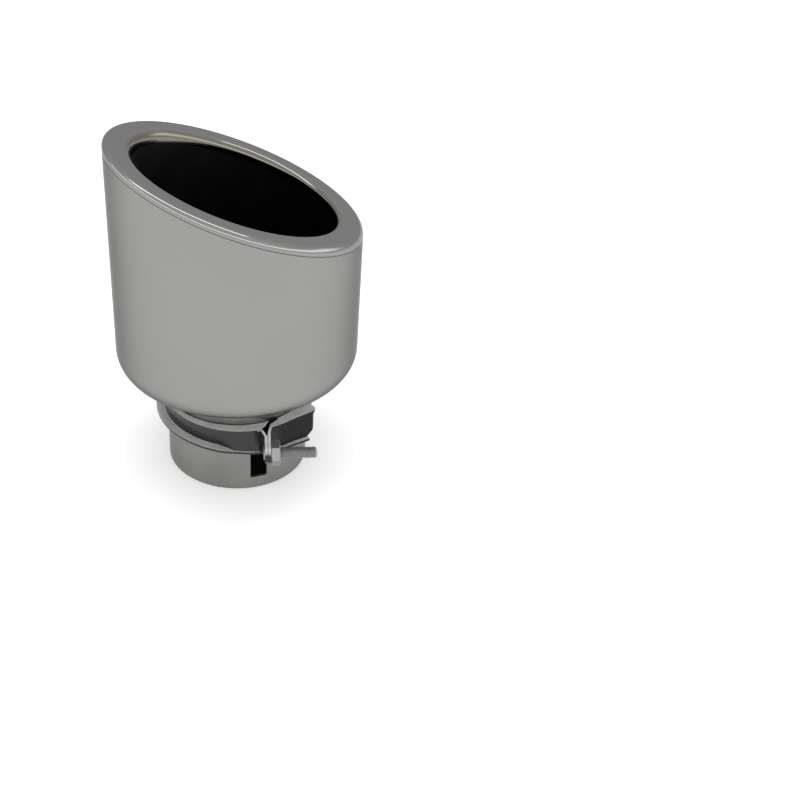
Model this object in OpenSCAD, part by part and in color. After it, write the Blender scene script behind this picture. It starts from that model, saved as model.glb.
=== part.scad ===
// Clamp-on double-wall exhaust tip with a slanted, rolled rim.
// It stands on the end of its neck, outlet up. The origin is the centre of the neck's end,
// Z runs up the axis, and the clamp's bolt is at the front, towards -Y. Millimetres.

/* [Neck] */
// Outside diameter of the inlet neck
neck_od = 60.3; // [56:0.1:63]
// Wall of the neck tube
neck_wall = 1.5; // [1:0.1:2]
// Height at which the rear cone of the shell meets the neck
neck_free_h = 38.3; // [35:0.1:44]
// Length of neck that goes on inside the shell
neck_tail = 12; // [9:0.5:16]
// Chamfer on the outer edge of the neck's end
neck_chamfer = 0.4; // [0.2:0.1:0.6]
// Number of windows cut in the neck
window_count = 2; // [1:1:4]
// Width of a window, measured straight across
window_w = 7.2; // [5:0.1:9]
// Height of a window
window_h = 18; // [12:0.5:22]
// Land left between a window and the neck's end
window_land = 5.6; // [4:0.1:8]
// Turn of the first window from the front towards +X, in degrees
window_turn = 17; // [0:1:40]

/* [Shell] */
// Outside diameter of the outer shell
body_od = 101.6; // [98:0.2:108]
// Wall of the outer shell
shell_wall = 1.2; // [0.8:0.1:1.5]
// Outer radius of the bend between the side and the rear cone
shoulder_r = 10; // [6:0.5:13]
// Slope of the rear cone above the level, in degrees
rear_slope = 30; // [22:1:36]
// Leg of the weld bead between the shell and the neck
bead_leg = 1.6; // [1.2:0.1:3]

/* [Rim] */
// Height of the rim's face on the axis
rim_h = 128.2; // [120:0.2:150]
// Slant of the rim's face from the level, in degrees
rim_slant = 20.4; // [8:0.1:24]
// Turn of the low side of the rim from +X towards +Y, in degrees
rim_turn = 3; // [-30:1:30]
// Width of the rim, from its outside to the opening inside the rolled lip
rim_w = 11; // [9:0.1:13]
// Sheet that the rim is pressed from
rim_sheet = 1.2; // [0.8:0.1:1.4]
// Radius of the rim's outer corner
rim_corner_r = 2.4; // [2:0.1:3.5]
// Radius of the lip that rolls into the mouth
lip_roll_r = 3.2; // [2.4:0.1:4.5]
// Straight length of the rim below its outer corner, down to the seam
rim_skirt = 0.9; // [0.5:0.1:3]
// Straight length of the lip below its roll, down to the liner
lip_skirt = 2; // [0.4:0.1:3]
// Chamfer of the rim's skirt at the seam
seam_chamfer = 0.25; // [0.1:0.05:0.4]

/* [Liner] */
// Wall of the inner liner
liner_wall = 1.2; // [0.8:0.1:1.5]
// Height of the liner's cone foot above the inner end of the neck
liner_foot = 1.7; // [1:0.1:5]
// Height of the liner's cone
liner_cone_h = 14; // [10:0.5:22]
// Length of the liner's sleeve over the neck
liner_sleeve = 8; // [5:0.5:10]

/* [Clamp] */
// Sheet that the clamp strap is pressed from
strap_t = 1.2; // [0.8:0.1:1.4]
// Play between the neck and the strap
strap_play = 0.3; // [0.2:0.05:0.5]
// Gap on the axis between the foot of the rear cone and the top of the strap
strap_drop = 5.1; // [3:0.1:8]
// Height of the strap on the axis, over both flanges
strap_h = 11.5; // [10:0.1:13]
// Slant of the lower flange, down towards +X, in degrees
strap_slant = 4.5; // [0:0.5:6]
// Reach of the lower flange past the strap's web
flange_reach = 3.5; // [2.5:0.1:4.5]
// Reach of the upper flange past the web at the left and the back
upper_reach = 0.9; // [0.7:0.1:2]
// Reach of the upper flange past the web on the arm
arm_reach = 3; // [2.4:0.1:4]
// Shift of the upper flange past the web at the front
front_shift = 3.4; // [2.8:0.1:4]
// Turn of that shift from the front towards +X, in degrees
front_turn = 20; // [0:1:30]
// Overhang of the upper flange over the closed walls
ledge = 0.6; // [0.3:0.1:0.8]
// Height of the upper flange's edge, which is folded down
lip_h = 3.4; // [2.4:0.1:4]
// Depth of the flat at the front of the lower flange
front_flat = 0.4; // [0.2:0.1:0.8]
// Distance from the axis to the end of the open channel at the front, towards -X
channel_end_x = 1; // [0:0.5:4]
// Length of the slope by which the channel's bed rises to the flat wall in front
channel_ramp = 9; // [5:0.5:12]
// Turn of the flat arm's wall from the front towards +X, in degrees
arm_turn = 33; // [30:1:36]
// Length of the flat arm past the point where its wall is nearest to the axis
arm_len = 17.4; // [16:0.2:18]
// Radius of the bend at the end of the arm
arm_corner_r = 2.4; // [2.3:0.1:3]
// Reach of the arm's foot flange past its upper flange
foot_reach = 0.8; // [0.4:0.1:1.2]
// Length of the arm's foot flange, measured as the arm's is
foot_len = 13.2; // [12:0.2:14]
// Length of the slope that cuts off the lower corner of the arm
arm_cut_l = 5; // [4:0.2:6]
// Height of that slope
arm_cut_h = 4; // [3:0.2:5]
// End of the plain band past the arm, in degrees from the front towards +X
band_end_turn = 125; // [115:1:130]
// Distance from the axis to the plane between the ears, along X
ear_x = 12.2; // [10:0.1:13]
// Gap between the two ears at the stud
ear_gap = 0.1; // [0.1:0.1:1]
// Distance from that plane to the outside of the left ear's root
left_root = 3.6; // [2.6:0.1:4]
// Distance from that plane to the outside of the right ear's root
right_root = 2.4; // [2:0.1:3]
// Width of the gap in the ring behind the ears
gap_w = 3.6; // [3:0.1:4.5]
// Shift of the gap towards +X where it meets the neck
gap_lean = 2.6; // [1:0.1:3]
// Radius of the ears' round ends
ear_r = 4.3; // [4:0.1:5.4]
// Height of the ears where they leave the ring
ear_root_h = 11; // [9.5:0.1:11.4]

/* [Bolt] */
// Distance from the strap's web to the stud, along Y
bolt_out = 7.7; // [7.4:0.1:9]
// Distance of the stud below the middle of the strap
bolt_drop = 1.7; // [0:0.1:2]
// Diameter of the stud
bolt_d = 4.8; // [4:0.1:5]
// Length of the stud from the plane between the ears to its tip
bolt_len = 19.9; // [14:0.1:22]
// Diameter of the stud's flat head
head_d = 5.8; // [5.4:0.1:6.4]
// Thickness of the stud's flat head
head_t = 0.5; // [0.4:0.1:1]
// Width of the nut across its flats
nut_af = 9.5; // [8:0.1:9.6]
// Thickness of the nut
nut_t = 3.8; // [3:0.1:5]
// Turn of the nut on the stud, in degrees
nut_turn = 34; // [0:1:59]

/* [Hidden] */

// Smoothness of the turned shapes
$fn = 96;
// Running clearance of pieces that slide into one another
fit = 0.05;
// Overrun of every cut past the surface that it opens
over = 1;
// Foot of the channel's slope, as a share of the web's radius
ramp_share = 0.97;
// Lap of the lower flange over the end of the plain band, in degrees
band_lap = 4;
// Sections round the swept rim, and steps in each of its bends, seen and hidden
rim_sections = 120;
rim_steps = 7;
rim_back_steps = 3;

neck_r = neck_od / 2;
bore_r = neck_r - neck_wall;
neck_h = neck_free_h + neck_tail;
body_r = body_od / 2;
mouth_r = body_r - rim_w;
liner_foot_h = neck_h + liner_foot;
liner_full_h = liner_foot_h + liner_cone_h;
bolt_r = bolt_d / 2;

// Circle of the nut's corners, its round faces as a share of its width, and their bevel
nut_corner_r = nut_af / 2 / cos(30);
nut_face_share = 0.95;
nut_bevel = 30;

// Drop of the rim's face for each millimetre towards its low side
rim_fall = tan(rim_slant);
// Depth of the seam and of the lip's end below the rim's face
seam_drop = rim_corner_r + rim_skirt;
lip_drop = lip_roll_r + lip_skirt;
// Height that no piece reaches
sky = rim_h + body_od;

// Bend of the shell: where the rear cone touches the round of the shoulder
shell_hole_r = neck_r + fit;
bend_r = body_r - shoulder_r;
touch_r = bend_r + shoulder_r * sin(rear_slope);
touch_h = neck_free_h + (touch_r - shell_hole_r) * tan(rear_slope);
bend_h = touch_h + shoulder_r * cos(rear_slope);

// Strap: radii of its ring, and heights of its two faces and of the stud
web_r = neck_r + strap_play;
web_out_r = web_r + strap_t;
flange_r = web_out_r + flange_reach;
strap_top_h = neck_free_h - strap_drop;
strap_low_h = strap_top_h - strap_h;
strap_mid_h = strap_low_h + strap_h / 2;
bolt_h = strap_mid_h - bolt_drop;
bolt_y = web_out_r + bolt_out;
// Outer faces of the closed walls at the front and on the arm, where the ears leave them
wall_y = web_out_r + front_shift * cos(front_turn) - ledge;
arm_out = web_out_r + arm_reach;
arm_wall_y = (arm_out - ledge - (ear_x + right_root) * sin(arm_turn)) / cos(arm_turn);
// Faces of the two ears that look at each other at the stud
left_face_x = ear_x - ear_gap / 2;
right_face_x = ear_x + ear_gap / 2;
// Where each ear bends flat, just clear of the stud's head or of the nut's round face
left_bend_y = bolt_y - head_d / 2 - ear_gap;
right_bend_y = bolt_y - nut_face_share * nut_af / 2 - ear_gap;

// Half plane of the rim's slant, lowered by drop, as a block that takes away all above it
module above_rim(drop) {
    translate([0, 0, rim_h - drop])
        rotate([0, rim_slant, rim_turn])
            translate([-sky, -sky, 0])
                cube([2 * sky, 2 * sky, 2 * sky]);
}

// Filled half section of the shell, with its surface moved inwards by inset
module body_section(inset) {
    r = body_r - inset;
    start_h = neck_free_h - shell_hole_r * tan(rear_slope) + inset / cos(rear_slope);
    polygon([
        [0, start_h],
        [touch_r - inset * sin(rear_slope), touch_h + inset * cos(rear_slope)],
        [bend_r, bend_h],
        [r, bend_h],
        [r, sky],
        [0, sky]
    ]);
    intersection() {
        translate([bend_r, bend_h]) circle(shoulder_r - inset);
        translate([bend_r, 0]) square([shoulder_r, bend_h]);
    }
}

// Outer skin: spun shoulder and straight side, cut off level with the seam of the rim
module outer_shell() {
    color("silver")
    difference() {
        rotate_extrude()
            difference() {
                body_section(0);
                body_section(shell_wall);
                square([shell_hole_r, sky + over]);
            }
        above_rim(seam_drop);
    }
}

// Round weld between the rear cone and the neck
module shell_weld_bead() {
    color("dimgray")
    rotate_extrude()
        intersection() {
            translate([neck_r, neck_free_h]) circle(bead_leg);
            polygon([
                [neck_r, neck_free_h - bead_leg - over],
                [neck_r + bead_leg + over, neck_free_h - bead_leg - over],
                [neck_r + bead_leg + over, neck_free_h + (bead_leg + over - fit) * tan(rear_slope)],
                [neck_r + fit, neck_free_h],
                [neck_r, neck_free_h]
            ]);
        }
}

// Inlet tube, with its windows and the chamfer at its end
module inlet_neck() {
    color("darkgray")
    difference() {
        rotate_extrude()
            polygon([
                [bore_r, 0],
                [neck_r - neck_chamfer, 0],
                [neck_r, neck_chamfer],
                [neck_r, neck_h],
                [bore_r, neck_h]
            ]);
        for (i = [0:window_count - 1])
            rotate([0, 0, window_turn + i * 360 / window_count])
                translate([-window_w / 2, -neck_r - over, window_land])
                    cube([window_w, neck_r + over, window_h]);
    }
}

// Black inner tube: a sleeve over the neck, a cone and the wide tube up to the lip
module inner_liner() {
    sleeve_r = neck_r + fit;
    color("black")
    difference() {
        rotate_extrude()
            polygon([
                [sleeve_r, liner_foot_h - liner_sleeve],
                [sleeve_r + liner_wall, liner_foot_h - liner_sleeve],
                [sleeve_r + liner_wall, liner_foot_h],
                [mouth_r + liner_wall, liner_full_h],
                [mouth_r + liner_wall, sky],
                [mouth_r, sky],
                [mouth_r, liner_full_h + liner_wall],
                [sleeve_r, liner_foot_h + liner_wall]
            ]);
        above_rim(lip_drop);
    }
}

// Quarter round of the rim's section, about [r, z], from angle a to angle b
function bend(r, z, radius, a, b, steps) =
    [for (i = [0:steps]) let (t = a + (b - a) * i / steps)
        [r + radius * cos(t), z + radius * sin(t)]];

// Section of the rim: radius, and height over the slanted face
rim_section = concat(
    [[body_r - seam_chamfer, -seam_drop]],
    [[body_r, seam_chamfer - seam_drop]],
    bend(body_r - rim_corner_r, -rim_corner_r, rim_corner_r, 0, 90, rim_steps),
    bend(mouth_r + lip_roll_r, -lip_roll_r, lip_roll_r, 90, 180, rim_steps),
    [[mouth_r, -lip_drop]],
    [[mouth_r + rim_sheet, -lip_drop]],
    bend(mouth_r + lip_roll_r, -lip_roll_r, lip_roll_r - rim_sheet, 180, 90, rim_back_steps),
    bend(body_r - rim_corner_r, -rim_corner_r, rim_corner_r - rim_sheet, 90, 0, rim_back_steps),
    [[body_r - rim_sheet, -seam_drop]]
);

// Pressed rim: the section swept round the axis and slid along the slant
module rim_ring() {
    n = len(rim_section);
    points = [
        for (i = [0:rim_sections - 1], p = rim_section)
            let (t = 360 * i / rim_sections)
            [p[0] * cos(t), p[0] * sin(t), rim_h + p[1] - p[0] * cos(t - rim_turn) * rim_fall]
    ];
    faces = [
        for (i = [0:rim_sections - 1], j = [0:n - 1])
            let (a = i * n, b = (i + 1) % rim_sections * n, k = (j + 1) % n)
            each [[a + j, a + k, b + k], [a + j, b + k, b + j]]
    ];
    color("gainsboro") polyhedron(points, faces);
}

// All that lies below the strap, with its face lifted by rise
module below_strap(rise) {
    translate([0, 0, strap_low_h + rise])
        rotate([0, strap_slant, 0])
            translate([-sky, -sky, -sky])
                cube([2 * sky, 2 * sky, sky]);
}

// All that lies above the strap, with its face lifted by rise
module above_strap(rise) {
    translate([-sky, -sky, strap_top_h + rise])
        cube([2 * sky, 2 * sky, sky]);
}

// Sector of the arm and the plain band, from the gap to an end, in degrees from the front
module arm_sector(end_turn) {
    start_turn = atan(ear_x / web_r);
    polygon([
        [0, 0],
        for (t = [start_turn, (start_turn + end_turn) / 2, end_turn])
            [2 * body_od * sin(t), -2 * body_od * cos(t)]
    ]);
}

// Flat arm from above, as long as its wall, with its edge moved inwards by inset
module arm_plate(inset) {
    rotate(arm_turn) {
        translate([-web_out_r, inset - arm_out])
            square([web_out_r + arm_len - arm_corner_r, arm_out - inset]);
        translate([-web_out_r, arm_corner_r - arm_out])
            square([web_out_r + arm_len - inset, arm_out - arm_corner_r]);
        translate([arm_len - arm_corner_r, arm_corner_r - arm_out])
            circle(arm_corner_r - inset);
    }
}

// Foot flange of the arm from above
module arm_foot() {
    intersection() {
        arm_sector(band_end_turn);
        rotate(arm_turn)
            translate([-web_out_r, -arm_out - foot_reach])
                square([web_out_r + foot_len, arm_out + foot_reach]);
    }
}

// Outline of the upper flange from above, with its edge moved inwards by inset
module upper_outline(inset) {
    circle(web_out_r + upper_reach - inset);
    rotate(front_turn)
        translate([0, -front_shift])
            circle(web_out_r - inset);
    intersection() {
        arm_sector(band_end_turn);
        arm_plate(inset);
    }
}

// Tall ring between the strap's web and what stands as its outline
module round_web() {
    difference() {
        linear_extrude(sky) children();
        translate([0, 0, -over]) cylinder(h = sky + 2 * over, r = web_out_r);
    }
}

// Hollow behind the closed walls, between the two flanges
module strap_hollow() {
    difference() {
        round_web() upper_outline(ledge + strap_t);
        below_strap(strap_t);
        above_strap(-strap_t);
        translate([-channel_end_x - body_od, -body_od, 0])
            cube([body_od, 2 * body_od, sky]);
    }
}

// What lies outside the closed walls, between the two flanges
module wall_surround() {
    difference() {
        linear_extrude(sky)
            difference() {
                square(2 * body_od, center = true);
                upper_outline(ledge);
            }
        below_strap(strap_t);
        above_strap(-strap_t);
    }
}

// Open side of the channel, under the folded edge, from the front round to the plain band
module channel_mouth() {
    difference() {
        round_web() square(2 * body_od, center = true);
        below_strap(strap_t);
        above_strap(-lip_h);
        linear_extrude(sky) arm_sector(band_end_turn);
        linear_extrude(sky)
            polygon([
                [-channel_end_x, -body_od],
                [-channel_end_x, -wall_y],
                [-channel_end_x - channel_ramp, -web_r * ramp_share],
                [-channel_end_x - channel_ramp, 0],
                [body_od, 0],
                [body_od, -body_od]
            ]);
    }
}

// Lower corner at the end of the arm, cut off at a slope down to the foot flange
module arm_corner_cut() {
    foot_h = strap_low_h - arm_len * tan(strap_slant);
    difference() {
        round_web()
            translate([0, -body_od])
                square([body_od, body_od]);
        rotate([90, 0, arm_turn])
            linear_extrude(sky)
                polygon([
                    [-sky, 0],
                    [arm_len - arm_cut_l, 0],
                    [arm_len - arm_cut_l, foot_h],
                    [arm_len + over, foot_h + arm_cut_h + over * arm_cut_h / arm_cut_l],
                    [arm_len + over, 0],
                    [sky, 0],
                    [sky, sky],
                    [-sky, sky]
                ]);
        intersection() {
            linear_extrude(sky) arm_foot();
            below_strap(strap_t);
        }
    }
}

// What lies outside the lower flange, which is flat in front and cut back past the ears
module lower_surround() {
    linear_extrude(strap_mid_h)
        difference() {
            square(2 * body_od, center = true);
            difference() {
                circle(flange_r);
                arm_sector(band_end_turn - band_lap);
                translate([-body_od, -flange_r + front_flat - body_od])
                    square([2 * body_od, body_od]);
            }
            upper_outline(ledge);
            arm_foot();
        }
}

// Gap in the ring behind the ears, seen from above
module ring_gap() {
    left_x = ear_x - left_root + strap_t;
    right_x = ear_x + right_root - strap_t;
    back_x = ear_x + gap_lean;
    back_y = web_r * cos(asin(back_x / web_r));
    linear_extrude(sky)
        polygon([
            [left_x, -body_od],
            [left_x, -wall_y + strap_t],
            [back_x - gap_w / 2, -back_y - strap_t],
            [back_x - gap_w / 2, 0],
            [back_x + gap_w / 2, 0],
            [back_x + gap_w / 2, -back_y],
            [right_x, -arm_wall_y + strap_t],
            [right_x, -body_od]
        ]);
}

// Ring of the strap: a web between two flanges, closed outside at the front and on the arm
module strap_ring() {
    difference() {
        linear_extrude(sky)
            union() {
                circle(flange_r);
                upper_outline(0);
                arm_foot();
            }
        translate([0, 0, -over]) cylinder(h = sky + 2 * over, r = web_r);
        below_strap(0);
        above_strap(0);
        strap_hollow();
        wall_surround();
        channel_mouth();
        lower_surround();
        arm_corner_cut();
        translate([0, 0, strap_mid_h])
            linear_extrude(sky)
                difference() {
                    square(2 * body_od, center = true);
                    upper_outline(0);
                }
        ring_gap();
    }
}

// Outline of both ears from the side: they taper to a full round about the stud
module ear_outline() {
    root_low = strap_mid_h - ear_root_h / 2;
    root_top = strap_mid_h + ear_root_h / 2;
    rotate([90, 0, 90])
        linear_extrude(2 * ear_x)
            union() {
                translate([-bolt_y, bolt_h]) circle(ear_r);
                polygon([
                    [-bolt_y, bolt_h - ear_r],
                    [-wall_y, root_low],
                    [-web_r / 2, root_low],
                    [-web_r / 2, root_top],
                    [-wall_y, root_top],
                    [-bolt_y, bolt_h + ear_r]
                ]);
            }
}

// One ear from above, from the end of a wall to the flat that the stud goes through
module ear_plan(face_x, bend_y, root_x, root_y, back) {
    linear_extrude(sky)
        polygon([
            [root_x - back, strap_t - root_y],
            [face_x, -bend_y],
            [face_x, -bolt_y - 2 * ear_r],
            [face_x + back, -bolt_y - 2 * ear_r],
            [face_x + back, -bend_y],
            [root_x, strap_t - root_y]
        ]);
}

// Strap: the ring, its arm and its two ears, with the hole for the stud
module clamp_strap() {
    color("slategray")
    difference() {
        union() {
            strap_ring();
            intersection() {
                ear_outline();
                union() {
                    ear_plan(left_face_x, left_bend_y, ear_x - left_root, wall_y, -strap_t);
                    ear_plan(right_face_x, right_bend_y, ear_x + right_root, arm_wall_y, strap_t);
                }
            }
        }
        translate([0, -bolt_y, bolt_h])
            rotate([0, 90, 0])
                cylinder(h = 2 * ear_x, r = bolt_r + fit);
    }
}

// Stud: a flat head against the left ear and a plain shank with a chamfered tip
module clamp_stud() {
    head_x = left_face_x - strap_t - head_t;
    shank_l = ear_x + bolt_len - head_x;
    tip = bolt_r / 3;
    color("lightslategray")
    translate([head_x, -bolt_y, bolt_h])
        rotate([0, 90, 0])
            rotate_extrude()
                polygon([
                    [0, 0],
                    [head_d / 2 - head_t / 2, 0],
                    [head_d / 2, head_t / 2],
                    [head_d / 2, head_t],
                    [bolt_r, head_t],
                    [bolt_r, shank_l - tip],
                    [bolt_r - tip, shank_l],
                    [0, shank_l]
                ]);
}

// Hexagon nut, chamfered on both faces, against the right ear
module clamp_nut() {
    face_r = nut_face_share * nut_af / 2;
    run = nut_corner_r + over - face_r;
    rise = run * tan(nut_bevel);
    color("lightgray")
    translate([right_face_x + strap_t, -bolt_y, bolt_h])
        rotate([0, 90, 0])
            difference() {
                intersection() {
                    rotate([0, 0, nut_turn]) cylinder(h = nut_t, r = nut_corner_r, $fn = 6);
                    rotate_extrude()
                        polygon([
                            [0, 0],
                            [face_r, 0],
                            [face_r + run, rise],
                            [face_r + run, nut_t - rise],
                            [face_r, nut_t],
                            [0, nut_t]
                        ]);
                }
                translate([0, 0, -over]) cylinder(h = nut_t + 2 * over, r = bolt_r + fit);
            }
}

inlet_neck();
outer_shell();
shell_weld_bead();
rim_ring();
inner_liner();
clamp_strap();
clamp_stud();
clamp_nut();
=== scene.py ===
# %% [markdown]
# # An exhaust tip, dressed for its picture
# The tip is a double-wall trim piece that clamps onto the end of a car's tailpipe: a polished
# shell with a slanted, rolled rim, a black liner inside, and a slotted inlet neck that a bolted
# strap squeezes tight. The frame holds these pieces at their real size, standing on the neck's
# end. This script gives them their finishes and the small relief that a maker would see up close.

import math

import bpy
from mathutils import Matrix, Vector


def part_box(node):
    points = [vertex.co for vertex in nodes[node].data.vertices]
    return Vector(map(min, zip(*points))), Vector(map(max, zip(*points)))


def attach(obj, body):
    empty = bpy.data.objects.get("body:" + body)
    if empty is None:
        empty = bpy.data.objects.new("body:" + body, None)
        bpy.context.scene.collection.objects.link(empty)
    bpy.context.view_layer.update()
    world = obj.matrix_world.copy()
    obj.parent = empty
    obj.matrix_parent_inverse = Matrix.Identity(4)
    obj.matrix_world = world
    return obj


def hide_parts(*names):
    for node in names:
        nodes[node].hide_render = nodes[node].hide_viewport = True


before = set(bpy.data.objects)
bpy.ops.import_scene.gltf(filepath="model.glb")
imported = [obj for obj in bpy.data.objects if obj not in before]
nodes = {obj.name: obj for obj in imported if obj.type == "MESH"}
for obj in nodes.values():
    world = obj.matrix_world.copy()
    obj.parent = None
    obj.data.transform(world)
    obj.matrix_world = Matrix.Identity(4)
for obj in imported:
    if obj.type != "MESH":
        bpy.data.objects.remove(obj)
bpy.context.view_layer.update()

# %% [markdown]
# ## Camera
# The tip was photographed from a little above the level of its mouth, with a fairly long lens.
# The frame was cut from a wider picture, so the tip stands left of and above the middle: the
# lens shift moves the frame there without turning the camera, which keeps the perspective true.

# %% Camera at the photograph's viewing angle
PICTURE = 800
FOCAL_PX = 1087.21
CENTRE_PX = (236.255, 307.565)
CAMERA_AT = Vector((0, -0.394053, 0.292132))
LOOK_AT = Vector((0, 0, 0.07111))
ROLL = math.radians(-0.548)
SENSOR_MM = 36
NEAR, FAR = 0.01, 30

forward = (LOOK_AT - CAMERA_AT).normalized()
right = Vector((1, 0, 0))
up = right.cross(forward)
image_right = math.cos(ROLL) * right + math.sin(ROLL) * up
image_up = -math.sin(ROLL) * right + math.cos(ROLL) * up

camera = bpy.data.objects.new("camera", bpy.data.cameras.new("camera"))
bpy.context.scene.collection.objects.link(camera)
camera.matrix_world = Matrix.Translation(CAMERA_AT) @ Matrix(
    (image_right, image_up, -forward)).transposed().to_4x4()
camera.data.sensor_width = SENSOR_MM
camera.data.lens = SENSOR_MM * FOCAL_PX / PICTURE
camera.data.shift_x = (PICTURE / 2 - CENTRE_PX[0]) / PICTURE
camera.data.shift_y = (CENTRE_PX[1] - PICTURE / 2) / PICTURE
camera.data.clip_start, camera.data.clip_end = NEAR, FAR
bpy.context.scene.camera = camera
print("Lens in mm:", round(camera.data.lens, 2))

# %% [markdown]
# ## Node trees
# The sky and every finish are node trees. A few small helpers serve them all: one starts a
# finish, one reads a single direction of a place or a normal, one does a sum, and one blends
# two colours. A Mix node holds sockets for numbers, vectors and colours in one list, so its
# colour sockets are found by their numbers.

# %% Helpers for node trees
COLOUR_A, COLOUR_B, COLOUR_OUT = 6, 7, 2


def new_finish(name, metallic, colour, roughness):
    mat = bpy.data.materials.new(name)
    mat.use_nodes = True
    shader = mat.node_tree.nodes["Principled BSDF"]
    shader.inputs["Metallic"].default_value = metallic
    shader.inputs["Base Color"].default_value = (*colour, 1)
    shader.inputs["Roughness"].default_value = roughness
    return mat, mat.node_tree, shader


def direction(tree, reading, axis):
    place = tree.nodes.new("ShaderNodeTexCoord")
    split = tree.nodes.new("ShaderNodeSeparateXYZ")
    tree.links.new(place.outputs[reading], split.inputs[0])
    return split.outputs[axis]


def joined(tree, operation, first, second):
    sums = tree.nodes.new("ShaderNodeMath")
    sums.operation = operation
    tree.links.new(first, sums.inputs[0])
    if isinstance(second, bpy.types.NodeSocket):
        tree.links.new(second, sums.inputs[1])
    else:
        sums.inputs[1].default_value = second
    return sums.outputs[0]


def two_tone(tree, share, first, second):
    mix = tree.nodes.new("ShaderNodeMix")
    mix.data_type = "RGBA"
    for number, tone in ((COLOUR_A, first), (COLOUR_B, second)):
        if isinstance(tone, bpy.types.NodeSocket):
            tree.links.new(tone, mix.inputs[number])
        else:
            mix.inputs[number].default_value = (*tone, 1)
    tree.links.new(share, mix.inputs[0])
    return mix.outputs[COLOUR_OUT]


# %% [markdown]
# ## Light and floor
# Polished steel shows its surroundings rather than its own colour. From this height the upright
# shell mirrors the floor in front of it, and the slanted rim mirrors the wall behind. So the
# floor is plain and white, and the world is a soft studio that is dimmer behind the tip. Two
# brighter shapes draw the two fine lines along the rim's corner: a long strip lamp overhead,
# and a band of light low in the sky in front and at the sides. The camera itself sees the sky
# as plain white, so nothing grey stands beyond the floor's edge.

# %% World
FRONT_WALL, REAR_WALL, BAND = 0.35, 0.285, 0.8
WALL_STOPS = ((0.3, FRONT_WALL), (0.8, REAR_WALL))
BAND_STOPS = ((0.65, BAND), (0.8, REAR_WALL))
BAND_HEIGHTS = ((0.12, 0.0), (0.2, 1.0), (0.4, 1.0), (0.48, 0.0))
SKY_STRENGTH = 2.7


def sky_ramp(tree, value, low, high, stops):
    span = tree.nodes.new("ShaderNodeMapRange")
    span.inputs["From Min"].default_value = low
    span.inputs["From Max"].default_value = high
    tree.links.new(value, span.inputs["Value"])
    ramp = tree.nodes.new("ShaderNodeValToRGB")
    ramp.color_ramp.interpolation = "EASE"
    while len(ramp.color_ramp.elements) < len(stops):
        ramp.color_ramp.elements.new(0.5)
    for element, (at, tone) in zip(ramp.color_ramp.elements, stops):
        element.position = at
        element.color = (tone, tone, tone, 1)
    tree.links.new(span.outputs[0], ramp.inputs[0])
    return ramp.outputs["Color"]


def studio_world():
    world = bpy.data.worlds.new("studio")
    world.use_nodes = True
    tree = world.node_tree
    tree.nodes.clear()
    depth = direction(tree, "Generated", "Y")
    wall = sky_ramp(tree, depth, -1, 1, WALL_STOPS)
    band = sky_ramp(tree, depth, -1, 1, BAND_STOPS)
    lit = sky_ramp(tree, direction(tree, "Generated", "Z"), 0, 1, BAND_HEIGHTS)
    back = tree.nodes.new("ShaderNodeBackground")
    tree.links.new(two_tone(tree, lit, wall, band), back.inputs["Color"])
    back.inputs["Strength"].default_value = SKY_STRENGTH
    white = tree.nodes.new("ShaderNodeBackground")
    white.inputs["Color"].default_value = (1, 1, 1, 1)
    path = tree.nodes.new("ShaderNodeLightPath")
    seen = tree.nodes.new("ShaderNodeMixShader")
    tree.links.new(path.outputs["Is Camera Ray"], seen.inputs[0])
    tree.links.new(back.outputs[0], seen.inputs[1])
    tree.links.new(white.outputs[0], seen.inputs[2])
    out = tree.nodes.new("ShaderNodeOutputWorld")
    tree.links.new(seen.outputs[0], out.inputs["Surface"])
    bpy.context.scene.world = world
    return world


print("World:", studio_world().name)

# %% [markdown]
# The strip lamp is long and low in power: it hangs well above the tip and a little behind it,
# where only the topmost part of each rounded edge mirrors it, as one fine line.

# %% Lamp
STRIP_AT = (0.0, 0.19, 1.5)
STRIP_AIM = (0.0, 0.19, 0)
STRIP_SIZE = (1.8, 0.34)
STRIP_WATTS = 6.3


def soft_lamp(name, at, aim, size, power):
    data = bpy.data.lights.new(name, "AREA")
    data.shape = "RECTANGLE"
    data.size, data.size_y = size
    data.energy = power
    lamp = bpy.data.objects.new(name, data)
    bpy.context.scene.collection.objects.link(lamp)
    lamp.location = at
    lamp.rotation_mode = "QUATERNION"
    lamp.rotation_quaternion = (Vector(aim) - Vector(at)).to_track_quat("-Z", "Y")
    return lamp


lamp = soft_lamp("overhead_strip", STRIP_AT, STRIP_AIM, STRIP_SIZE, STRIP_WATTS)
print(lamp.name, round(lamp.data.energy, 1), "W")

# %% [markdown]
# The floor is matt white paper. Lit only by this soft studio it would look grey, so it glows a
# little by itself, but only for the camera and in mirrors: the polished steel then mirrors
# white paper, and the tip's own soft shadow stays on it.

# %% White floor
FLOOR_SIZE = 6
FLOOR_GLOW = 0.2

bpy.ops.object.select_all(action="DESELECT")
bpy.ops.mesh.primitive_plane_add(size=FLOOR_SIZE, location=(0, 0, 0))
floor = bpy.context.object
floor.name = "floor"
paper, paper_tree, paper_shader = new_finish("white_paper", 0.0, (0.93, 0.93, 0.93), 0.9)
paper_shader.inputs["Specular IOR Level"].default_value = 0.1
paper_shader.inputs["Emission Color"].default_value = (1, 1, 1, 1)
path = paper_tree.nodes.new("ShaderNodeLightPath")
seen = joined(paper_tree, "MAXIMUM", path.outputs["Is Camera Ray"], path.outputs["Is Glossy Ray"])
glow = joined(paper_tree, "MULTIPLY", seen, FLOOR_GLOW)
paper_tree.links.new(glow, paper_shader.inputs["Emission Strength"])
floor.data.materials.append(paper)
bpy.context.scene.view_settings.view_transform = "Standard"
print("Floor at z =", floor.location.z)

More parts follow.
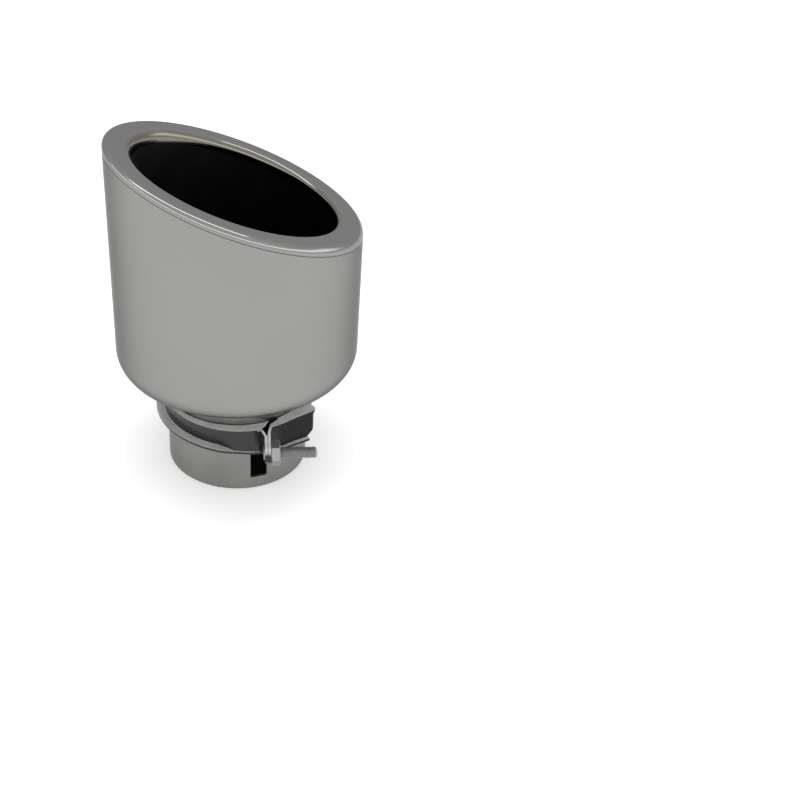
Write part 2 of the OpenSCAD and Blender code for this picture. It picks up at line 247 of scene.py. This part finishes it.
# %% [markdown]
# The picture shows plain black through the window in the neck. A white floor seen through it
# would glow, so a small black card lies on the floor inside the neck as painted shade, as a
# photographer would put one there. It belongs to the stage and not to the tip.

# %% Black card under the bore, as painted shade
BORE_R = 0.02865
CARD_GAP = 0.0003
CARD_LIFT = 0.0002

bpy.ops.object.select_all(action="DESELECT")
bpy.ops.mesh.primitive_circle_add(
    vertices=96, radius=BORE_R - CARD_GAP, fill_type="NGON", location=(0, 0, CARD_LIFT))
card = bpy.context.object
card.name = "painted_shade_card"
felt, felt_tree, felt_shader = new_finish("painted_shade_felt", 0.0, (0.006, 0.006, 0.006), 0.95)
felt_shader.inputs["Specular IOR Level"].default_value = 0.05
card.data.materials.append(felt)
print("Card radius in mm:", round(1000 * (BORE_R - CARD_GAP), 2))

# %% [markdown]
# ## Softened sheet metal
# The solids have knife-sharp edges, and nothing pressed from sheet does. A fine round along
# each edge catches the light as a thin bright line, which is most of what makes metal look
# real. A solid's own mesh is loose triangles and is never changed, so each of these pieces is a
# copy: its doubled points are merged, its flat triangles joined, and a Bevel modifier then
# rounds the edges that are sharper than a set angle.

# %% Helpers for copies of the solids
MERGE_GAP = 0.00004
FLAT_DEGREES = 0.2
ROUND_SEGMENTS = 2


def choose(piece):
    if bpy.context.object is not None and bpy.context.object.mode == "EDIT":
        bpy.ops.object.mode_set(mode="OBJECT")
    bpy.ops.object.select_all(action="DESELECT")
    piece.select_set(True)
    bpy.context.view_layer.objects.active = piece


def merged_copy(node, name, gap):
    piece = bpy.data.objects.new(name, nodes[node].data.copy())
    bpy.context.scene.collection.objects.link(piece)
    choose(piece)
    bpy.ops.mesh.customdata_custom_splitnormals_clear()
    bpy.ops.object.mode_set(mode="EDIT")
    bpy.ops.mesh.select_all(action="SELECT")
    bpy.ops.mesh.remove_doubles(threshold=gap)
    return piece


def softened_copy(node, name, width, sharp_degrees):
    piece = merged_copy(node, name, MERGE_GAP)
    bpy.ops.mesh.dissolve_limited(angle_limit=math.radians(FLAT_DEGREES))
    bpy.ops.object.mode_set(mode="OBJECT")
    bpy.ops.object.shade_smooth()
    bpy.ops.object.modifier_add(type="BEVEL")
    soften = piece.modifiers[-1]
    soften.width = width
    soften.segments = ROUND_SEGMENTS
    soften.limit_method = "ANGLE"
    soften.angle_limit = math.radians(sharp_degrees)
    soften.use_clamp_overlap = False
    soften.harden_normals = True
    bpy.ops.object.modifier_apply(modifier=soften.name)
    return piece


def dress(piece, node, mat):
    piece.data.materials.clear()
    piece.data.materials.append(mat)
    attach(piece, "root")
    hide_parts(node)
    print(piece.name, "has", len(piece.data.polygons), "faces")


# %% [markdown]
# ## Finishes
# Every finish starts from one metal or paint shader. What makes it real is small: faint clouds
# of haze where a wheel touched less, a slow wave in the sheet, fine lines along a drawn tube.
# All of it is noise read in object coordinates, so it holds its size and stays put when the
# tip is turned.

# %% Helpers for the finishes
def stretched_noise(tree, stretch, scale, detail):
    place = tree.nodes.new("ShaderNodeTexCoord")
    mapping = tree.nodes.new("ShaderNodeMapping")
    mapping.inputs["Scale"].default_value = stretch
    noise = tree.nodes.new("ShaderNodeTexNoise")
    noise.inputs["Scale"].default_value = scale
    noise.inputs["Detail"].default_value = detail
    tree.links.new(place.outputs["Object"], mapping.inputs["Vector"])
    tree.links.new(mapping.outputs[0], noise.inputs["Vector"])
    return noise.outputs["Fac"]


def spread(tree, value, low, high, start=0.3, end=0.7):
    span = tree.nodes.new("ShaderNodeMapRange")
    span.interpolation_type = "SMOOTHSTEP"
    span.inputs["From Min"].default_value = start
    span.inputs["From Max"].default_value = end
    span.inputs["To Min"].default_value = low
    span.inputs["To Max"].default_value = high
    tree.links.new(value, span.inputs["Value"])
    return span.outputs[0]


def relief(tree, shader, value, depth, below=None):
    bump = tree.nodes.new("ShaderNodeBump")
    bump.inputs["Strength"].default_value = 1
    bump.inputs["Distance"].default_value = depth
    tree.links.new(value, bump.inputs["Height"])
    if below is not None:
        tree.links.new(below, bump.inputs["Normal"])
    tree.links.new(bump.outputs[0], shader.inputs["Normal"])
    return bump.outputs[0]


def from_axis(tree):
    place = tree.nodes.new("ShaderNodeTexCoord")
    flat = tree.nodes.new("ShaderNodeVectorMath")
    flat.operation = "MULTIPLY"
    flat.inputs[1].default_value = (1, 1, 0)
    away = tree.nodes.new("ShaderNodeVectorMath")
    away.operation = "LENGTH"
    tree.links.new(place.outputs["Object"], flat.inputs[0])
    tree.links.new(flat.outputs[0], away.inputs[0])
    return away.outputs["Value"]


def wear(node, mat):
    nodes[node].data.materials.clear()
    nodes[node].data.materials.append(mat)
    print(node, "wears", mat.name)


# %% [markdown]
# ### Polished steel
# The shell and the rim are stainless sheet, polished on a wheel. That leaves faint clouds of
# haze, and a slow upright wave in the sheet from the rolls that bent it. Seen at a shallow
# angle the steel darkens a little instead of turning to a mirror.

# %% Polished sheet for the shell and the rim
CLOUDS = 22
CLOUD_SPAN = (0.1, 0.9)
HAZE_SWING = 0.03
DULL_SHARE = 0.95
WAVES = 60
WAVE_STRETCH = (1, 1, 0.1)
WAVE_DEPTH = 0.000012
LIP_R = 0.0405
LIP_BLEND = 0.0016


def polished_sheet(name, colour, haze, edge_tint, lip_tint=None):
    mat, tree, shader = new_finish(name, 1.0, colour, haze)
    clouds = stretched_noise(tree, (1, 1, 1), CLOUDS, 1.0)
    hazy = spread(tree, clouds, haze - HAZE_SWING, haze + HAZE_SWING, *CLOUD_SPAN)
    tree.links.new(hazy, shader.inputs["Roughness"])
    dull = [DULL_SHARE * c for c in colour]
    sheet = two_tone(tree, spread(tree, clouds, 0, 1, *CLOUD_SPAN), dull, colour)
    if lip_tint is not None:
        past_lip = spread(tree, from_axis(tree), 0, 1, LIP_R, LIP_R + LIP_BLEND)
        sheet = two_tone(tree, past_lip, lip_tint, sheet)
    tree.links.new(sheet, shader.inputs["Base Color"])
    relief(tree, shader, stretched_noise(tree, WAVE_STRETCH, WAVES, 0.0), WAVE_DEPTH)
    shader.inputs["Specular Tint"].default_value = (edge_tint, edge_tint, edge_tint, 1)
    return mat


wear("outer_shell", polished_sheet("polished_shell", (0.285, 0.285, 0.28), 0.28, 0.4))

# %% [markdown]
# ### The rolled rim
# The rim was pressed from the same sheet, so it is polished like the shell but tighter. In the
# solid it is a ring of flat facets, which a mirror finish would show up one by one. A merged
# copy, shaded smooth, carries the bright lines round its corner unbroken. Where the lip rolls
# into the mouth, the steel is tinted a darker straw.

# %% Rim
FINE_GAP = 0.000002
PAIR_DEGREES, PAIR_SHAPE_DEGREES = 30, 60
RIM_SHARP_DEGREES = 35
STRAW = (0.19, 0.18, 0.15)

rim = merged_copy("rim_ring", "rolled_rim", FINE_GAP)
bpy.ops.mesh.tris_convert_to_quads(
    face_threshold=math.radians(PAIR_DEGREES), shape_threshold=math.radians(PAIR_SHAPE_DEGREES))
bpy.ops.object.mode_set(mode="OBJECT")
bpy.ops.object.shade_smooth_by_angle(angle=math.radians(RIM_SHARP_DEGREES))
rim_steel = polished_sheet("polished_rim", (0.285, 0.285, 0.281), 0.12, 0.6, lip_tint=STRAW)
dress(rim, "rim_ring", rim_steel)

# %% [markdown]
# ### The inlet neck
# The neck is plain drawn tube: satin rather than mirror-bright, with faint lines along it from
# the drawing and scuffs where it was handled. Inside it is black, as the liner is. One
# material does both: it measures how far a point lies from the tube's axis, and turns from
# black to steel at a radius within the thickness of the sheet.

# %% Neck
IN_SHEET_R = 0.0291
DRAWN_STRETCH, DRAWN_DEPTH = (700, 700, 8), 0.000003
TURNED_STRETCH, TURNED_DEPTH = (30, 30, 1500), 0.0000015
SCUFFS = 60
SCUFFED_SHARE, FOOT_SHARE = 0.88, 0.75
DARK_FOOT_HEIGHT = 0.0012


def inside_black(mat, radius):
    tree = mat.node_tree
    coat = tree.nodes.new("ShaderNodeBsdfPrincipled")
    coat.inputs["Base Color"].default_value = (0.004, 0.004, 0.004, 1)
    coat.inputs["Roughness"].default_value = 0.6
    coat.inputs["Specular IOR Level"].default_value = 0.12
    mix = tree.nodes.new("ShaderNodeMixShader")
    tree.links.new(joined(tree, "GREATER_THAN", from_axis(tree), radius), mix.inputs[0])
    tree.links.new(coat.outputs[0], mix.inputs[1])
    tree.links.new(tree.nodes["Principled BSDF"].outputs[0], mix.inputs[2])
    tree.links.new(mix.outputs[0], tree.nodes["Material Output"].inputs["Surface"])


def drawn_tube(name, colour, haze):
    mat, tree, shader = new_finish(name, 1.0, colour, haze)
    drawn = stretched_noise(tree, DRAWN_STRETCH, 1.0, 2.0)
    turned = stretched_noise(tree, TURNED_STRETCH, 1.0, 2.0)
    scuffs = stretched_noise(tree, (1, 1, 1), SCUFFS, 4.0)
    rough = joined(tree, "ADD", spread(tree, drawn, haze - HAZE_SWING, haze + HAZE_SWING),
                   spread(tree, scuffs, -0.02, 0.05))
    tree.links.new(rough, shader.inputs["Roughness"])
    scuffed = [SCUFFED_SHARE * c for c in colour]
    patina = two_tone(tree, spread(tree, scuffs, 0, 1), scuffed, colour)
    # The lowest 1.2 mm of the neck is darker towards the bottom.
    towards_foot = spread(tree, direction(tree, "Object", "Z"), 0, 1, 0.0, DARK_FOOT_HEIGHT)
    foot = [FOOT_SHARE * c for c in colour]
    tree.links.new(two_tone(tree, towards_foot, foot, patina), shader.inputs["Base Color"])
    first = relief(tree, shader, drawn, DRAWN_DEPTH)
    relief(tree, shader, turned, TURNED_DEPTH, below=first)
    shader.inputs["Specular Tint"].default_value = (0.7, 0.7, 0.7, 1)
    return mat


neck_steel = drawn_tube("drawn_neck", (0.26, 0.26, 0.248), 0.33)
inside_black(neck_steel, IN_SHEET_R)
wear("inlet_neck", neck_steel)

# %% [markdown]
# ### The black liner
# The inner tube is coated black so that the mouth looks deep. The coat is sprayed and baked:
# it has the faint orange peel of paint, and a little pale dust in its semi-matt sheen.

# %% Liner
PEEL, PEEL_DEPTH = 900, 0.00001
DUST = 70
CLEAN_BLACK, DUSTY_BLACK = (0.0014, 0.0014, 0.0014), (0.0024, 0.0024, 0.0023)


def black_coat(name):
    mat, tree, shader = new_finish(name, 0.0, CLEAN_BLACK, 0.45)
    shader.inputs["Specular IOR Level"].default_value = 0.1
    peel = stretched_noise(tree, (1, 1, 1), PEEL, 2.0)
    dust = stretched_noise(tree, (1, 1, 1), DUST, 5.0)
    dusty = spread(tree, dust, 0, 1, 0.45, 0.8)
    tree.links.new(two_tone(tree, dusty, CLEAN_BLACK, DUSTY_BLACK), shader.inputs["Base Color"])
    tree.links.new(spread(tree, dust, 0.44, 0.52), shader.inputs["Roughness"])
    relief(tree, shader, peel, PEEL_DEPTH)
    return mat


wear("inner_liner", black_coat("black_coating"))

# %% [markdown]
# ### The weld round the neck
# The shell is joined to the neck by one hand-laid weld. A welder adds the metal in small steps,
# so the bead is a row of overlapping ripples. One ripple is a flattened ball, cut off flush
# where it sinks into the neck and the cone, and tilted back over the one before. It is made
# once and copied round the axis, each copy with a mesh of its own. At this small size the
# bisect tool needs a much finer threshold than it has by itself, or its cuts stay open.

# %% One ripple
NECK_R = 0.03015
CONE_FOOT = 0.0383
CONE_SLOPE = math.radians(30)
RIPPLE_SIZE = (0.00155, 0.0018, 0.00155)
RIPPLE_TILT = math.radians(24)
SINK = 0.0004
CUT_GAP = 0.0000001


def cut_off(at, normal, inner):
    bpy.ops.mesh.select_all(action="SELECT")
    bpy.ops.mesh.bisect(
        plane_co=at, plane_no=normal, use_fill=True, clear_inner=inner, clear_outer=not inner,
        threshold=CUT_GAP)


ripple_at = (NECK_R, 0, CONE_FOOT)
bpy.ops.object.select_all(action="DESELECT")
bpy.ops.mesh.primitive_uv_sphere_add(
    segments=12, ring_count=8, radius=1, location=ripple_at, scale=RIPPLE_SIZE)
ripple = bpy.context.object
ripple.name = "weld_ripples"
bpy.ops.object.transform_apply(location=True, rotation=True, scale=True)
bpy.ops.object.mode_set(mode="EDIT")
bpy.ops.mesh.select_all(action="SELECT")
bpy.ops.transform.rotate(value=RIPPLE_TILT, orient_axis="X", center_override=ripple_at)
cut_off((NECK_R - SINK, 0, 0), (1, 0, 0), inner=True)
cone_normal = (-math.sin(CONE_SLOPE), 0, math.cos(CONE_SLOPE))
cut_off((NECK_R, 0, CONE_FOOT + SINK), cone_normal, inner=False)
bpy.ops.object.mode_set(mode="OBJECT")
print("One ripple has", len(ripple.data.polygons), "faces")

# %% All the ripples, joined into one bead
RIPPLES = 116
BEAD_SHARP_DEGREES = 40

ripples = [ripple]
for i in range(1, RIPPLES):
    again = bpy.data.objects.new("ripple", ripple.data.copy())
    bpy.context.scene.collection.objects.link(again)
    again.rotation_euler.z = 2 * math.pi * i / RIPPLES
    ripples.append(again)
for again in ripples:
    again.select_set(True)
bpy.context.view_layer.objects.active = ripple
bpy.ops.object.transform_apply(location=True, rotation=True, scale=True)
bpy.ops.object.join()
bpy.ops.object.shade_smooth_by_angle(angle=math.radians(BEAD_SHARP_DEGREES))
print("The bead has", RIPPLES, "ripples")

# %% [markdown]
# The heat of the arc left the bead between straw and bare grey, in patches, with a fine grain.

# %% Finish of the weld
HEAT_PATCHES = 130
WELD_GRAIN, WELD_GRAIN_DEPTH = 1500, 0.00001
STRAW_STEEL, BARE_STEEL = (0.24, 0.21, 0.175), (0.37, 0.35, 0.32)


def welded_steel(name):
    mat, tree, shader = new_finish(name, 1.0, STRAW_STEEL, 0.4)
    heat = stretched_noise(tree, (1, 1, 1), HEAT_PATCHES, 2.0)
    grain = stretched_noise(tree, (1, 1, 1), WELD_GRAIN, 2.0)
    straw = two_tone(tree, spread(tree, heat, 0, 1), STRAW_STEEL, BARE_STEEL)
    tree.links.new(straw, shader.inputs["Base Color"])
    tree.links.new(spread(tree, heat, 0.3, 0.5), shader.inputs["Roughness"])
    relief(tree, shader, grain, WELD_GRAIN_DEPTH)
    return mat


dress(ripple, "shell_weld_bead", welded_steel("weld_steel"))

# %% [markdown]
# ### The clamp's strap
# The strap is pressed from plated sheet. Its colour holds painted light and shade: the finish
# reads which way a face points, and faces that look up take a light tone as painted light,
# with a chalky, less metallic shine, while walls take a dark tone as painted shade. The flat
# arm at the right is painted darker still, as painted shade, so the walls' tone also follows
# how far to the right a point lies.

# %% Plated steel
UP_FACING_SPAN = (0.25, 0.85)
UP_FACING_HAZE = 0.12
PATCHES = 120
PATCHED_SHARE = 0.86
PLATE_GRAIN, PLATE_GRAIN_DEPTH = 2200, 0.000004
ARM_X = (0.012, 0.02)


def plated_steel(name, walls, flanges, haze, chalk=0.0, arm=None):
    mat, tree, shader = new_finish(name, 1.0, walls, haze)
    # The walls of the arm at the right are painted darker: painted shade.
    if arm is not None:
        on_arm = spread(tree, direction(tree, "Object", "X"), 0, 1, *ARM_X)
        walls = two_tone(tree, on_arm, walls, arm)
    # Faces that look up take the lit tone and walls the shaded one: painted light and painted
    # shade.
    facing_up = spread(tree, direction(tree, "Normal", "Z"), 0, 1, *UP_FACING_SPAN)
    if chalk:
        tree.links.new(spread(tree, facing_up, 1, 1 - chalk, 0, 1), shader.inputs["Metallic"])
    patches = stretched_noise(tree, (1, 1, 1), PATCHES, 4.0)
    grain = stretched_noise(tree, (1, 1, 1), PLATE_GRAIN, 2.0)
    dull = two_tone(tree, facing_up, walls, [PATCHED_SHARE * c for c in flanges])
    clean = two_tone(tree, facing_up, walls, flanges)
    plating = two_tone(tree, spread(tree, patches, 0, 1), dull, clean)
    tree.links.new(plating, shader.inputs["Base Color"])
    rough = joined(tree, "ADD", spread(tree, facing_up, haze, haze + UP_FACING_HAZE, 0, 1),
                   spread(tree, patches, -0.04, 0.05))
    tree.links.new(rough, shader.inputs["Roughness"])
    relief(tree, shader, grain, PLATE_GRAIN_DEPTH)
    return mat


# Dark walls, a darker arm and bright flanges are painted shade and painted light on one plating.
SHADED_WALL_TONE, LIT_FLANGE_TONE = (0.052, 0.054, 0.052), (0.72, 0.74, 0.73)
SHADED_ARM_TONE = (0.019, 0.02, 0.019)
strap = softened_copy("clamp_strap", "pressed_strap", 0.00013, sharp_degrees=32)
dress(strap, "clamp_strap",
      plated_steel("zinc_strap", SHADED_WALL_TONE, LIT_FLANGE_TONE, 0.28, chalk=0.7, arm=SHADED_ARM_TONE))

# %% [markdown]
# ### The nut
# The hexagon nut keeps the chamfers of its solid. Its corners are rounded a little, as the
# spanner and the tumbling barrel leave them.

# %% Nut
nut = softened_copy("clamp_nut", "hexagon_nut", 0.00018, sharp_degrees=28)
# Faces that look up take the lighter tone and the sides the darker one: painted light and shade.
dress(nut, "clamp_nut",
      plated_steel("zinc_nut", (0.23, 0.235, 0.23), (0.3, 0.31, 0.3), 0.3))

# %% [markdown]
# ### The threaded stud
# The stud needs a real thread, because its silhouette shows one. A thread is one tooth's
# outline, turned round the axis while it moves along by one pitch: that is exactly what the
# Screw modifier does. The outline is drawn point by point from a single vertex, the turns are
# trimmed flat at both ends, and the tip is rounded off by the shape of the bar it was rolled
# on. The stud's place, its length and its head's size are read from the solid's box.

# %% Measures of the stud
stud_low, stud_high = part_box("clamp_stud")
STUD_AXIS = ((stud_low.y + stud_high.y) / 2, (stud_low.z + stud_high.z) / 2)
HEAD_R = (stud_high.y - stud_low.y) / 2
STUD_R = 0.0024
ROOT_R = 0.00198
PITCH = 0.0008
SHANK = 0.0028
THREAD_FROM = stud_low.x + SHANK
TIP_X = stud_high.x
TURNS = math.ceil((TIP_X - THREAD_FROM) / PITCH) + 2
print("Turns of thread:", TURNS, "on a stud of", round(1000 * (TIP_X - stud_low.x), 1), "mm")

# %% One tooth's outline, turned into a thread
TOOTH_SHARES = (0.2, 0.33, 0.14, 0.33)
TOOTH = STUD_R - ROOT_R
THREAD_STEPS = 28
SEED_SIZE = 0.001

bpy.ops.object.select_all(action="DESELECT")
bpy.ops.mesh.primitive_plane_add(size=SEED_SIZE, location=(0, *STUD_AXIS))
thread = bpy.context.object
thread.name = "threaded_stud"
bpy.ops.object.mode_set(mode="EDIT")
bpy.ops.mesh.select_all(action="SELECT")
bpy.ops.mesh.merge(type="CENTER")
bpy.ops.transform.translate(value=(THREAD_FROM - PITCH, 0, ROOT_R))
for share, out in zip(TOOTH_SHARES, (0, TOOTH, 0, -TOOTH)):
    bpy.ops.mesh.extrude_vertices_move(TRANSFORM_OT_translate={"value": (share * PITCH, 0, out)})
bpy.ops.object.mode_set(mode="OBJECT")
bpy.ops.object.modifier_add(type="SCREW")
screw = thread.modifiers[-1]
screw.axis = "X"
screw.screw_offset = PITCH
screw.iterations = TURNS
screw.steps = THREAD_STEPS
screw.render_steps = THREAD_STEPS
screw.use_merge_vertices = True
screw.merge_threshold = FINE_GAP
bpy.ops.object.modifier_apply(modifier=screw.name)
bpy.ops.object.transform_apply(location=True, rotation=True, scale=True)
print("Turned thread:", len(thread.data.polygons), "faces")

# %% [markdown]
# The turns start and end on a slant. Both ends are cut square and closed, and the
# normals are worked out again, because the Screw modifier can leave them pointing inwards.

# %% Thread cut square at both ends
bpy.ops.object.mode_set(mode="EDIT")
bpy.ops.mesh.select_all(action="SELECT")
bpy.ops.mesh.remove_doubles(threshold=FINE_GAP)
cut_off((THREAD_FROM, 0, 0), (1, 0, 0), inner=True)
cut_off((TIP_X, 0, 0), (1, 0, 0), inner=False)
bpy.ops.mesh.select_all(action="SELECT")
bpy.ops.mesh.normals_make_consistent(inside=False)
bpy.ops.object.mode_set(mode="OBJECT")
print("Thread from", round(1000 * THREAD_FROM, 2), "to", round(1000 * TIP_X, 2), "mm,",
      len(thread.data.polygons), "faces")

# %% [markdown]
# A thread is rolled onto a bar whose end is already rounded, so its last turns fade out. The
# same is done here: a bar with a rounded end is made a hair wider than the thread, and a
# Boolean modifier keeps only what lies inside it.

# %% Bar with a rounded tip, which trims the thread
BAR_SIDES = 56
RUN_OUT = 0.001
BAR_CLEARANCE = 0.00005
TIP_ROUND = 0.0014


def end_face(piece, x):
    bpy.ops.object.mode_set(mode="EDIT")
    bpy.ops.mesh.select_mode(type="FACE")
    bpy.ops.mesh.select_all(action="DESELECT")
    bpy.ops.object.mode_set(mode="OBJECT")
    for face in piece.data.polygons:
        face.select = abs(face.normal.x) > 0.99 and abs(face.center.x - x) < 0.00001
    bpy.ops.object.mode_set(mode="EDIT")


def bar(name, start, end, radius):
    bpy.ops.object.select_all(action="DESELECT")
    bpy.ops.mesh.primitive_cylinder_add(
        vertices=BAR_SIDES, radius=radius, depth=end - start,
        location=((start + end) / 2, *STUD_AXIS), rotation=(0, math.radians(90), 0))
    piece = bpy.context.object
    piece.name = name
    bpy.ops.object.transform_apply(location=True, rotation=True, scale=True)
    return piece


stock = bar("stock", THREAD_FROM - RUN_OUT, TIP_X, STUD_R + BAR_CLEARANCE)
end_face(stock, TIP_X)
bpy.ops.mesh.bevel(offset=TIP_ROUND, segments=5)
choose(thread)
bpy.ops.object.modifier_add(type="BOOLEAN")
trim = thread.modifiers[-1]
trim.operation = "INTERSECT"
trim.solver = "EXACT"
trim.object = stock
bpy.ops.object.modifier_apply(modifier=trim.name)
bpy.data.objects.remove(stock)
print("Trimmed thread:", len(thread.data.polygons), "faces")

# %% [markdown]
# The head is a thin disc. Its inner face is inset to the shank's radius and drawn out a little
# way into the thread, so that head, shank and thread make one stud with no gap.

# %% Head and plain shank, joined to the thread
HEAD_T = 0.0005
HEAD_ROUND = 0.0002
OVERLAP = 0.0002
STUD_SHARP_DEGREES = 28

head = bar("head", stud_low.x, stud_low.x + HEAD_T, HEAD_R)
end_face(head, stud_low.x + HEAD_T)
bpy.ops.mesh.inset(thickness=HEAD_R - ROOT_R - OVERLAP)
bpy.ops.mesh.extrude_region_move(
    TRANSFORM_OT_translate={"value": (SHANK + OVERLAP - HEAD_T, 0, 0)})
end_face(head, stud_low.x)
bpy.ops.mesh.bevel(offset=HEAD_ROUND, segments=2)
choose(thread)
head.select_set(True)
bpy.ops.object.join()
bpy.ops.object.shade_smooth_by_angle(angle=math.radians(STUD_SHARP_DEGREES))
# As on the nut, faces that look up take a slightly lighter tone than the sides: painted light.
dress(thread, "clamp_stud",
      plated_steel("zinc_stud", (0.32, 0.325, 0.32), (0.36, 0.365, 0.36), 0.42))
